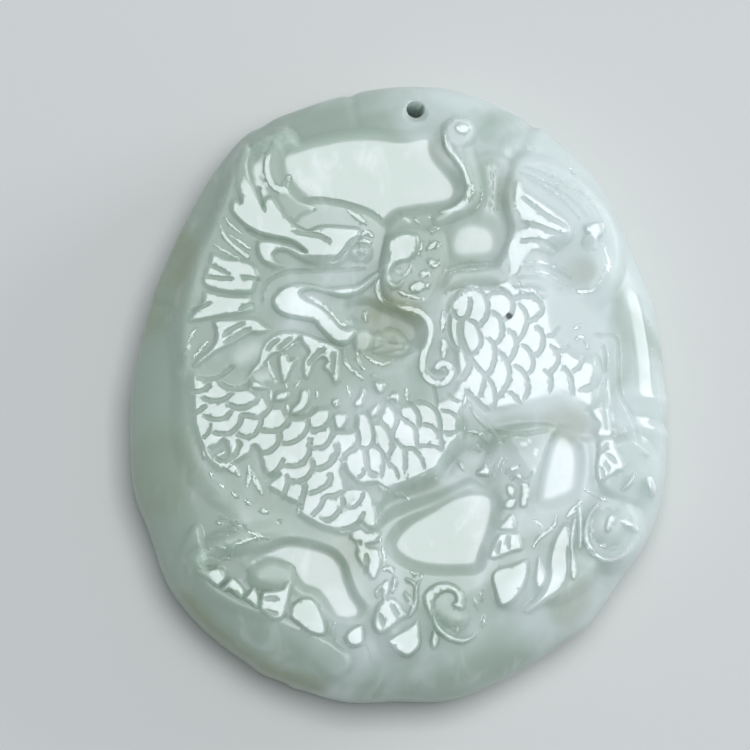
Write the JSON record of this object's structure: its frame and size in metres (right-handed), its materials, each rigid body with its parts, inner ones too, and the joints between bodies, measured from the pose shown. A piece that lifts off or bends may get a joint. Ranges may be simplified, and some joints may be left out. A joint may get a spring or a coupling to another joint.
{
  "type": "jade qilin pendant",
  "caption": "Oval jade pendant plaque carved in low relief with a scaled qilin among clouds, with a drilled hanging hole.",
  "frame": {"origin": "on the flat back, below the middle of the pendant's box; the pendant lies on its back", "axes": "+Z out of the carved face, +Y up the pendant towards its hanging hole, +X to the right of someone who looks at the face"},
  "size_m": [0.054, 0.062, 0.0119],
  "materials": {
    "jade": "polished"
  },
  "bodies": {
    "root": {"pendant": "jade"}
  },
  "joints": []
}
